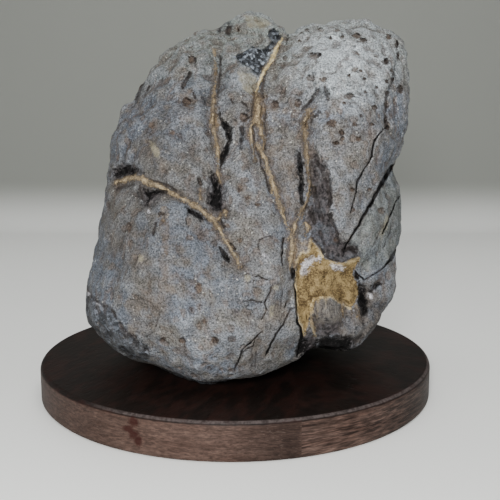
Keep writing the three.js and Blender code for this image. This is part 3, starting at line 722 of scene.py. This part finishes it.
standing = ((points - smoothed(points, edges, 12)) * normals).sum(axis=1)
skinned.vertices.foreach_set("co", (points * MM).ravel())
skinned.update()
del gaps["great"]
for name, values in [*((name + "_gap", gap) for name, gap in gaps.items()), ("bleach_and_painted_light", bleach_and_painted_light), ("relief", standing)]:
    skinned.attributes.new(name, "FLOAT", "POINT").data.foreach_set("value", values)
for polygon in skinned.polygons:
    polygon.use_smooth = True
stone.data = skinned
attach(stone, "root")
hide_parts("stone")


def linear(code):
    """A #RRGGBB colour as the linear values that a shader takes."""
    parts = [int(code[at : at + 2], 16) / 255 for at in (1, 3, 5)]
    return [part / 12.92 if part <= 0.04045 else ((part + 0.055) / 1.055) ** 2.4 for part in parts] + [1.0]


# Node settings that come again and again.
SMOOTH = {"interpolation_type": "SMOOTHSTEP"}
BLEND = {"data_type": "RGBA"}
SHADE = {"data_type": "RGBA", "blend_type": "MULTIPLY"}
TIMES = {"operation": "MULTIPLY"}
PLUS = {"operation": "ADD"}
TIMES_PLUS = {"operation": "MULTIPLY_ADD"}
STRETCH = {"vector_type": "POINT"}


def add(tree, kind, settings, inputs, out=0):
    """Adds a shader node and returns one of its outputs. An input is a value, a hex colour or an output."""
    made = tree.nodes.new("ShaderNode" + kind)
    for name, value in settings.items():
        setattr(made, name, value)
    for name, value in inputs.items():
        if isinstance(value, bpy.types.NodeSocket):
            tree.links.new(value, made.inputs[name])
        else:
            made.inputs[name].default_value = linear(value) if isinstance(value, str) else value
    return made.outputs[out] if made.outputs else None


# Weathered basalt: matt blue-grey grit with brown and painted shade in its hollows and pale wear with a painted
# highlight on its rises, so it looks dry and old.
basalt = bpy.data.materials.new("weathered_basalt")
basalt.use_nodes = True
tree = basalt.node_tree
tree.nodes.clear()
place = add(tree, "TexCoord", {}, {}, "Object")
bent = add(tree, "TexNoise", {}, {"Vector": place, "Scale": 1 / (1.1 * MM), "Detail": 2.0}, "Color")
bent = add(tree, "VectorMath", TIMES_PLUS, {0: bent, 1: (0.9 * MM,) * 3, 2: place})
wavy = add(tree, "TexNoise", {}, {"Vector": place, "Scale": 1 / (2.4 * MM), "Detail": 1.0}, "Color")
wavy = add(tree, "VectorMath", TIMES_PLUS, {0: wavy, 1: (2.2 * MM,) * 3, 2: place})
noises = {}
for name, size_mm, detail, rough in (
    ("cloud", 17.0, 2.0, 0.5),
    ("tint", 4.2, 2.0, 0.55),
    ("stone", 4.5, 6.0, 0.78),
    ("spot", 2.2, 2.0, 0.5),
    ("grit", 0.42, 1.0, 0.8),
    ("ragged", 0.9, 3.0, 0.7),
):
    noises[name] = add(
        tree,
        "TexNoise",
        {},
        {"Vector": place, "Scale": 1 / (size_mm * MM), "Detail": detail, "Roughness": rough},
    )
upright = add(tree, "Mapping", STRETCH, {"Vector": bent, "Scale": (1.0, 1.0, 0.2)})
tall = add(tree, "Mapping", STRETCH, {"Vector": wavy, "Scale": (1.0, 1.0, 0.3)})
noises["drip"] = add(tree, "TexNoise", {}, {"Vector": tall, "Scale": 1 / (2.8 * MM), "Detail": 2.0})
noises["streak"] = add(
    tree,
    "TexNoise",
    {},
    {"Vector": upright, "Scale": 1 / (0.9 * MM), "Detail": 3.0, "Roughness": 0.65},
)
lobe = add(tree, "Attribute", {"attribute_name": "lobe_gap"}, {}, "Fac")
lobe = add(tree, "MapRange", SMOOTH, {0: lobe, 1: 22.0, 2: -34.0})
height = add(tree, "SeparateXYZ", {}, {0: place}, "Z")
upward = add(tree, "MapRange", SMOOTH, {0: height, 1: 82 * MM, 2: 112 * MM, 4: 0.7})
rougher = add(tree, "MapRange", SMOOTH, {0: height, 1: 50 * MM, 2: 80 * MM, 4: 0.8})
relief = add(tree, "Attribute", {"attribute_name": "relief"}, {}, "Fac")
# Painted shade: where the relief sinks, the colour turns dark brown.
sunk_shade = add(tree, "MapRange", SMOOTH, {0: relief, 1: -0.03, 2: -0.28, 4: 0.62})
# Wear with painted highlight: where the relief stands up, the colour turns pale.
wear_and_highlight = add(tree, "MapRange", SMOOTH, {0: relief, 1: 0.05, 2: 0.35, 4: 0.35})
cloud = add(tree, "MapRange", {}, {0: noises["cloud"], 1: 0.4, 2: 0.62})
colour = add(tree, "Mix", BLEND, {0: cloud, 6: BLUE_GREY, 7: WARM_GREY}, 2)
colour = add(tree, "Mix", BLEND, {0: upward, 6: colour, 7: GREEN_GREY}, 2)
colour = add(tree, "Mix", BLEND, {0: lobe, 6: colour, 7: PALE_GREY}, 2)
colour = add(tree, "Mix", BLEND, {0: wear_and_highlight, 6: colour, 7: PALE_WEAR_AND_HIGHLIGHT}, 2)
colour = add(tree, "Mix", BLEND, {0: sunk_shade, 6: colour, 7: HOLLOW_BROWN_AND_SHADE}, 2)
# Small cells of mineral: brown grains, open pores painted dark with shade, and pale feldspar.
marks = {}
for name, size_mm, picked_from, picked_full, reach, core in (
    ("brown", 3.4, 0.5, 0.38, 0.42, 0.2),
    ("pore", 2.3, 0.34, 0.3, 0.3, 0.16),
    ("fleck", 0.9, 0.84, 0.9, 0.34, 0.14),
):
    sockets = {"Vector": wavy if name == "brown" else bent, "Scale": 1 / (size_mm * MM)}
    cell = add(tree, "SeparateColor", {}, {0: add(tree, "TexVoronoi", {}, sockets, "Color")}, 0)
    away = add(tree, "TexVoronoi", {}, sockets, "Distance")
    picked = add(tree, "MapRange", {}, {0: cell, 1: picked_from, 2: picked_full})
    inside = add(tree, "MapRange", SMOOTH, {0: away, 1: reach, 2: core})
    marks[name] = add(tree, "Math", TIMES, {0: picked, 1: inside})
open_pore = add(tree, "MapRange", {}, {0: lobe, 3: 0.25, 4: 1.0})
marks["pore"] = add(tree, "Math", TIMES, {0: marks["pore"], 1: open_pore})
# Each patch of weathering, painted pore shade and pale fleck: its mask, where it starts and is full, how strong, its
# colour. The lobe has less brown.
stainable = add(tree, "MapRange", {}, {0: lobe, 3: 1.0, 4: 0.45})
for mask, start, full, strength, tint in (
    (noises["tint"], 0.44, 0.66, 0.65, BROWN_TINT),
    (noises["drip"], 0.54, 0.68, 0.5, SPOT_BROWN),
    (noises["spot"], 0.56, 0.72, 0.35, SPOT_BROWN),
    (marks["brown"], 0.0, 1.0, 0.55, SPOT_BROWN),
    # painted shade inside the open pores
    (marks["pore"], 0.0, 1.0, 0.55, PORE_SHADE),
    (marks["fleck"], 0.0, 1.0, 0.42, FLECK_WHITE),
):
    share = add(tree, "MapRange", SMOOTH, {0: mask, 1: start, 2: full, 4: strength})
    if tint in (BROWN_TINT, SPOT_BROWN):
        share = add(tree, "Math", TIMES, {0: share, 1: stainable})
    colour = add(tree, "Mix", BLEND, {0: share, 6: colour, 7: tint}, 2)
rougher = add(tree, "Math", TIMES, {0: rougher, 1: stainable})
for noise, low, high, share in (
    ("stone", 0.72, 1.28, 1.0),
    ("grit", 0.36, 1.66, 1.0),
    ("ragged", 0.55, 1.45, rougher),
):
    shade = add(tree, "MapRange", {}, {0: noises[noise], 1: 0.3, 2: 0.7, 3: low, 4: high})
    colour = add(tree, "Mix", SHADE, {0: share, 6: colour, 7: shade}, 2)
# The paler and darker areas multiplied in: bleaching, and painted light and shade.
bleach_and_painted_light = add(tree, "Attribute", {"attribute_name": "bleach_and_painted_light"}, {}, "Fac")
colour = add(tree, "Mix", SHADE, {0: 1.0, 6: colour, 7: bleach_and_painted_light}, 2)

roughness = 0.82
grain = add(tree, "Math", PLUS, {0: noises["grit"], 1: noises["spot"]})
grain = add(tree, "Math", PLUS, {0: grain, 1: noises["stone"]})
grains = {"grain": add(tree, "MapRange", {}, {0: grain, 1: 1.28, 2: 1.74})}
streak = add(tree, "Math", TIMES_PLUS, {0: noises["grit"], 1: 0.4, 2: noises["streak"]})
grains["streak"] = add(tree, "MapRange", {}, {0: streak, 1: 0.5, 2: 0.9})
# The flat faces of a broken patch: crystal cells, a few bright among dark ones, the bright ones painted glints.
crystal_glint = add(tree, "TexVoronoi", {}, {"Vector": bent, "Scale": 1 / (0.85 * MM)}, "Color")
crystal_glint = add(tree, "SeparateColor", {}, {0: crystal_glint}, 1)
crystal_glint = add(tree, "Math", {"operation": "POWER"}, {0: crystal_glint, 1: 6.0})
grains["speck"] = add(tree, "MapRange", {}, {0: noises["ragged"], 1: 0.54, 2: 0.76})
grains["mottle"] = add(tree, "MapRange", {}, {0: noises["ragged"], 1: 0.38, 2: 0.64})
shine = add(tree, "MapRange", {}, {0: noises["grit"], 1: 0.35, 2: 0.65})
grains["crystal_glint"] = add(tree, "Math", TIMES_PLUS, {0: shine, 1: 0.12, 2: crystal_glint})
for name, layer, texture, ragged, outer, inner, dark, light, strength, patchy, gloss in LAYERS:
    gap = add(tree, "Attribute", {"attribute_name": layer}, {}, "Fac")
    wander = add(tree, "MapRange", {}, {0: noises["ragged"], 1: 0.25, 2: 0.75, 3: -ragged, 4: ragged})
    gap = add(tree, "Math", PLUS, {0: gap, 1: wander})
    mask = add(tree, "MapRange", SMOOTH, {0: gap, 1: outer, 2: inner, 4: strength})
    patches = add(tree, "MapRange", {}, {0: noises["tint"], 1: 0.42, 2: 0.56, 3: 1.0 - patchy, 4: 1.0})
    mask = add(tree, "Math", TIMES, {0: mask, 1: patches})
    paint = add(tree, "Mix", BLEND, {0: grains[texture], 6: dark, 7: light}, 2)
    colour = add(tree, "Mix", BLEND, {0: mask, 6: colour, 7: paint}, 2)
    roughness = add(tree, "Mix", {"data_type": "FLOAT"}, {0: mask, 2: roughness, 3: gloss}, 0)

height = add(tree, "Math", TIMES, {0: noises["grit"], 1: 0.22})
height = add(tree, "Math", TIMES_PLUS, {0: noises["stone"], 1: 1.0, 2: height})
height = add(tree, "Math", TIMES_PLUS, {0: marks["pore"], 1: -0.4, 2: height})
height = add(tree, "Math", TIMES_PLUS, {0: marks["brown"], 1: -0.4, 2: height})
bump = add(tree, "Bump", {}, {"Strength": 1.0, "Distance": MM, "Height": height})
surface = add(
    tree,
    "BsdfPrincipled",
    {},
    {"Base Color": colour, "Roughness": roughness, "Normal": bump, "Specular IOR Level": 0.18},
)
add(tree, "OutputMaterial", {}, {"Surface": surface})
stone.data.materials.clear()
stone.data.materials.append(basalt)

# ---------------------------------------------------------------------------
# The base: a round foot of dark-stained hardwood, glued from two boards whose
# grain runs at an angle to each other. Its turned rim is sanded and paler than
# the top, with a worn edge that also carries a painted highlight.
# ---------------------------------------------------------------------------
WOOD_DARK = "#33241E"
WOOD_LIGHT = "#54443D"
WOOD_PORE = "#1A100C"
RUBBED_WOOD = "#66574F"
EDGE_WEAR_AND_HIGHLIGHT = "#4B4341"
DRIP_RED = "#2A0D0A"
TOP_BLACK = "#110C0A"
TOP_RED = "#20120F"
FOOT_RADIUS_MM = 60.0
FOOT_HEIGHT_MM = 10.0
EDGE_ROUND_MM = 1.4
UNDER_BEVEL_MM = 0.6
GLUE_LINE_MM = 16.5
TURN_STEPS = 540
RIM_ROWS = 12
BOARDS = {
    # node: (side of the glue line, turn of its grain, how wide its rings lie, how strong they show, material name)
    "base_main_board": (-1, 19.0, 4.0, 0.2, "stained_hardwood"),
    "base_side_board": (1, -35.0, 9.0, 0.42, "stained_hardwood_turned"),
}
# How pale the rim is across the front, by place along X in millimetres.
RIM_TONE = [(-60, 0.7), (-46, 0.85), (-30, 0.95), (-23, 1.12), (-7, 1.12), (1, 0.92), (8, 0.62), (13, 0.46),
            (16.4, 0.55), (16.6, 0.88), (30, 0.95), (44, 0.6), (60, 0.42)]
# Dark red drips on the rim: X and Z of the middle, half width and half height, in millimetres.
DRIPS = [(-23.3, 8.1, 1.2, 1.1), (-24.7, 6.1, 1.4, 0.7), (-23.4, 5.0, 1.3, 1.1), (-22.2, 3.6, 1.0, 1.3)]

profile = [(0.0, 0.0), (20.0, 0.0), (40.0, 0.0), (FOOT_RADIUS_MM - UNDER_BEVEL_MM, 0.0)]
rim_height = FOOT_HEIGHT_MM - EDGE_ROUND_MM - UNDER_BEVEL_MM
profile += [(FOOT_RADIUS_MM, UNDER_BEVEL_MM + rim_height * row / RIM_ROWS) for row in range(RIM_ROWS)]
for turn in range(0, 91, 10):
    profile.append((
        FOOT_RADIUS_MM - EDGE_ROUND_MM * (1 - math.cos(math.radians(turn))),
        FOOT_HEIGHT_MM - EDGE_ROUND_MM * (1 - math.sin(math.radians(turn))),
    ))
profile += [(radius, FOOT_HEIGHT_MM) for radius in (56.0, 50.0, 40.0, 20.0, 0.0)]

for node_name, (side, grain_turn, ring_spread, strength, material_name) in BOARDS.items():
    turning = bmesh.new()
    rings = []
    for radius, height_mm in profile:
        if radius == 0.0:
            rings.append([turning.verts.new((0.0, 0.0, height_mm * MM))] * TURN_STEPS)
            continue
        rings.append([
            turning.verts.new((
                radius * MM * math.cos(math.tau * turn / TURN_STEPS),
                radius * MM * math.sin(math.tau * turn / TURN_STEPS),
                height_mm * MM,
            ))
            for turn in range(TURN_STEPS)
        ])
    for lower, upper in zip(rings, rings[1:]):
        for turn in range(TURN_STEPS):
            after = (turn + 1) % TURN_STEPS
            corners = dict.fromkeys((lower[turn], lower[after], upper[after], upper[turn]))
            turning.faces.new(list(corners))
    bmesh.ops.bisect_plane(
        turning,
        geom=[*turning.verts, *turning.edges, *turning.faces],
        plane_co=(GLUE_LINE_MM * MM, 0, 0),
        plane_no=(side, 0, 0),
        clear_inner=True,
    )
    open_edges = [edge for edge in turning.edges if edge.is_boundary]
    bmesh.ops.contextual_create(turning, geom=open_edges)
    bmesh.ops.recalc_face_normals(turning, faces=turning.faces)
    board_mesh = bpy.data.meshes.new("board_" + node_name)
    turning.to_mesh(board_mesh)
    turning.free()
    spots = np.empty(len(board_mesh.vertices) * 3)
    board_mesh.vertices.foreach_get("co", spots)
    spots = spots.reshape(-1, 3) / MM
    tone = np.interp(spots[:, 0], [at for at, _ in RIM_TONE], [value for _, value in RIM_TONE])
    tone = np.where(spots[:, 1] < 5.0, tone, 0.85)
    drip_gap = np.full(len(spots), 20.0)
    for across, high, wide, tall in DRIPS:
        away = np.hypot((spots[:, 0] - across) / wide, (spots[:, 2] - high) / tall)
        drip_gap = np.minimum(drip_gap, np.where(spots[:, 1] < 0, away - 1.0, 20.0))
    # The round top edge is painted paler as wear and painted highlight: none at the far left of the front, full
    # across the rest of it, half at the back.
    edge_wear_and_highlight = np.where(spots[:, 1] < 5.0, np.interp(spots[:, 0], (-38, -26), (0.0, 1.0)), 0.5)
    for layer_name, values in {"tone": tone, "drip_gap": drip_gap, "edge_wear_and_highlight": edge_wear_and_highlight}.items():
        layer = board_mesh.attributes.new(layer_name, "FLOAT", "POINT")
        layer.data.foreach_set("value", values)
    # The top, the underside and the glued face are flat, and only the rim is round.
    for polygon in board_mesh.polygons:
        flat = abs(polygon.normal.z) > 0.999 or abs(polygon.normal.x) > 0.9999
        polygon.use_smooth = not flat
    glued = np.abs(spots[:, 0] - GLUE_LINE_MM) < 0.001
    for edge in board_mesh.edges:
        edge.use_edge_sharp = bool(glued[edge.vertices[0]] and glued[edge.vertices[1]])
    board = bpy.data.objects.new(node_name + "_turned", board_mesh)
    bpy.context.scene.collection.objects.link(board)
    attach(board, "root")
    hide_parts(node_name)

    # Stained hardwood: long brown fibres under a dark satin stain, thinner on the rim, so the grain shows there.
    hardwood = bpy.data.materials.new(material_name)
    hardwood.use_nodes = True
    tree = hardwood.node_tree
    tree.nodes.clear()
    place = add(tree, "TexCoord", {}, {}, "Object")
    turned = {"Vector": place, "Angle": math.radians(grain_turn)}
    along = add(tree, "VectorRotate", {"rotation_type": "Z_AXIS"}, turned)
    along = add(tree, "VectorRotate", {"rotation_type": "X_AXIS"}, {"Vector": along, "Angle": math.radians(5.0)})
    grains = {}
    for name, across_mm, along_mm, detail in (
        ("fibre", 0.3, 40.0, 1.0),
        ("figure", 2.6, 60.0, 3.0),
        ("pore", 0.3, 12.0, 2.0),
        ("mottle", 0.9, 1.4, 3.0),
        ("lines", 0.55, 80.0, 1.0),
        ("veil", 1.0, 40.0, 2.0),
    ):
        spread = 1.0 if name == "mottle" else ring_spread
        scale = (1 / (spread * across_mm * MM), 1 / (along_mm * MM), 1 / (across_mm * MM))
        scaled = add(tree, "Mapping", STRETCH, {"Vector": along, "Scale": scale})
        grains[name] = add(tree, "TexNoise", {}, {"Vector": scaled, "Scale": 1.0, "Detail": detail, "Roughness": 0.6})
    figure = add(tree, "MapRange", {}, {0: grains["figure"], 1: 0.5 - 0.09 / strength, 2: 0.5 + 0.09 / strength})
    colour = add(tree, "Mix", BLEND, {0: figure, 6: WOOD_DARK, 7: WOOD_LIGHT}, 2)
    for name, swing in (("fibre", strength), ("mottle", 0.1), ("lines", strength)):
        shade = add(tree, "MapRange", {}, {0: grains[name], 1: 0.35, 2: 0.65, 3: 1.0 - swing, 4: 1.0 + swing})
        colour = add(tree, "Mix", SHADE, {0: 1.0, 6: colour, 7: shade}, 2)
    tone = add(tree, "Attribute", {"attribute_name": "tone"}, {}, "Fac")
    colour = add(tree, "Mix", SHADE, {0: 1.0, 6: colour, 7: tone}, 2)
    high = add(tree, "SeparateXYZ", {}, {0: place}, "Z")
    pore = add(tree, "MapRange", SMOOTH, {0: grains["pore"], 1: 0.6, 2: 0.7, 4: 0.5})
    pale_pore = add(tree, "MapRange", SMOOTH, {0: grains["pore"], 1: 0.4, 2: 0.3, 4: 0.3})
    # The worn edge: the round above the rim, painted paler in patches, partly wood rubbed through and partly a
    # painted highlight.
    edge_in = add(tree, "MapRange", SMOOTH, {0: high, 1: 9.25 * MM, 2: 9.55 * MM})
    edge_out = add(tree, "MapRange", SMOOTH, {0: high, 1: 9.97 * MM, 2: 9.86 * MM})
    edge = add(tree, "Math", TIMES, {0: edge_in, 1: edge_out})
    rubbed_and_lit = add(tree, "MapRange", {}, {0: grains["mottle"], 1: 0.35, 2: 0.6, 3: 0.3, 4: 0.9})
    edge = add(tree, "Math", TIMES, {0: edge, 1: rubbed_and_lit})
    wear_and_highlight = add(tree, "Attribute", {"attribute_name": "edge_wear_and_highlight"}, {}, "Fac")
    edge = add(tree, "Math", TIMES, {0: edge, 1: wear_and_highlight})
    top = add(tree, "MapRange", SMOOTH, {0: high, 1: 8.9 * MM, 2: 9.3 * MM, 4: 0.94})
    veil = add(tree, "MapRange", {}, {0: grains["veil"], 1: 0.44, 2: 0.6})
    top_tint = add(tree, "Mix", BLEND, {0: veil, 6: TOP_BLACK, 7: TOP_RED}, 2)
    drip = add(tree, "Attribute", {"attribute_name": "drip_gap"}, {}, "Fac")
    drip = add(tree, "Math", PLUS, {0: drip, 1: grains["mottle"]})
    drip = add(tree, "MapRange", SMOOTH, {0: drip, 1: 1.0, 2: 0.1, 4: 0.8})
    for mask, tint in (
        (pore, WOOD_PORE),
        (pale_pore, RUBBED_WOOD),
        (top, top_tint),
        (edge, EDGE_WEAR_AND_HIGHLIGHT),
        (drip, DRIP_RED),
    ):
        colour = add(tree, "Mix", BLEND, {0: mask, 6: colour, 7: tint}, 2)
    grain = add(tree, "Math", TIMES, {0: grains["fibre"], 1: 0.08})
    grain = add(tree, "Math", TIMES_PLUS, {0: pore, 1: -0.06, 2: grain})
    bump = add(tree, "Bump", {}, {"Strength": 1.0, "Distance": MM, "Height": grain})
    surface = add(
        tree,
        "BsdfPrincipled",
        {},
        {"Base Color": colour, "Roughness": 0.55, "Normal": bump, "Specular IOR Level": 0.09},
    )
    add(tree, "OutputMaterial", {}, {"Surface": surface})
    board_mesh.materials.append(hardwood)

# ---------------------------------------------------------------------------
# Stage and light: a plain paper sweep, a small lamp above the camera, a broad
# one overhead, and faint ones behind and at each side.
# ---------------------------------------------------------------------------
FLOOR_PALE = "#EDEEEA"
WALL_GREY = "#989A94"
SWEEP_HALF_M = 1.6
SWEEP_FRONT_M = -1.2
SWEEP_BACK_M = 0.46
SWEEP_BEND_M = 0.05
WALL_TOP_M = 1.4

# Matt paper sweep: pale underfoot and mid grey behind, so that it stays quiet.
sweep_profile = [(SWEEP_FRONT_M, 0.0), (SWEEP_BACK_M - SWEEP_BEND_M, 0.0)]
for turn in range(10, 91, 10):
    sweep_profile.append((
        SWEEP_BACK_M - SWEEP_BEND_M * (1 - math.sin(math.radians(turn))),
        SWEEP_BEND_M * (1 - math.cos(math.radians(turn))),
    ))
sweep_profile.append((SWEEP_BACK_M, WALL_TOP_M))
sweep_mesh = bpy.data.meshes.new("paper_sweep")
sweep_mesh.from_pydata(
    [(across, away, up) for away, up in sweep_profile for across in (-SWEEP_HALF_M, SWEEP_HALF_M)],
    [],
    [(2 * at, 2 * at + 1, 2 * at + 3, 2 * at + 2) for at in range(len(sweep_profile) - 1)],
)
for polygon in sweep_mesh.polygons:
    polygon.use_smooth = True
sweep = bpy.data.objects.new("paper_sweep", sweep_mesh)
bpy.context.scene.collection.objects.link(sweep)
paper = bpy.data.materials.new("matt_paper")
paper.use_nodes = True
tree = paper.node_tree
tree.nodes.clear()
place = add(tree, "TexCoord", {}, {}, "Object")
up = add(tree, "SeparateXYZ", {}, {0: place}, "Z")
share = add(tree, "MapRange", SMOOTH, {0: up, 1: 0.0, 2: SWEEP_BEND_M})
colour = add(tree, "Mix", BLEND, {0: share, 6: FLOOR_PALE, 7: WALL_GREY}, 2)
surface = add(tree, "BsdfPrincipled", {}, {"Base Color": colour, "Roughness": 0.8})
add(tree, "OutputMaterial", {}, {"Surface": surface})
sweep_mesh.materials.append(paper)

LAMPS = {
    # name: (place in metres, size, watts, colour)
    "front_lamp": ((-0.02, -0.275, 0.115), 0.05, 0.94, "#FFFFFF"),
    "overhead_lamp": ((0.02, -0.2, 0.75), 0.5, 2.6, "#FFFFFF"),
    "back_fill": ((0.0, 0.42, 0.5), 0.5, 1.7, "#FFFFFF"),
    "right_fill": ((0.5, 0.0, 0.3), 0.5, 0.9, "#FFFFFF"),
    "left_fill": ((-0.5, 0.1, 0.3), 0.5, 0.7, "#FFFFFF"),
}
AIM = (0.0, -0.02, 0.055)
for name, (spot_m, size, watts, tint) in LAMPS.items():
    lamp = bpy.data.lights.new(name, "AREA")
    lamp.energy = watts
    lamp.size = size
    lamp.color = linear(tint)[:3]
    lamp_object = bpy.data.objects.new(name, lamp)
    lamp_object.location = spot_m
    toward_aim = [aim - here for aim, here in zip(AIM, spot_m)]
    flat_run = math.hypot(toward_aim[0], toward_aim[1])
    lamp_object.rotation_euler = (
        math.atan2(flat_run, -toward_aim[2]),
        0.0,
        math.atan2(-toward_aim[0], toward_aim[1]),
    )
    lamp_object.visible_camera = False
    bpy.context.scene.collection.objects.link(lamp_object)

STUDIO_GREY = "#C8CACC"
STUDIO_STRENGTH = 0.13
studio = bpy.data.worlds.new("studio")
studio.use_nodes = True
studio.node_tree.nodes["Background"].inputs["Color"].default_value = linear(STUDIO_GREY)
studio.node_tree.nodes["Background"].inputs["Strength"].default_value = STUDIO_STRENGTH
bpy.context.scene.world = studio
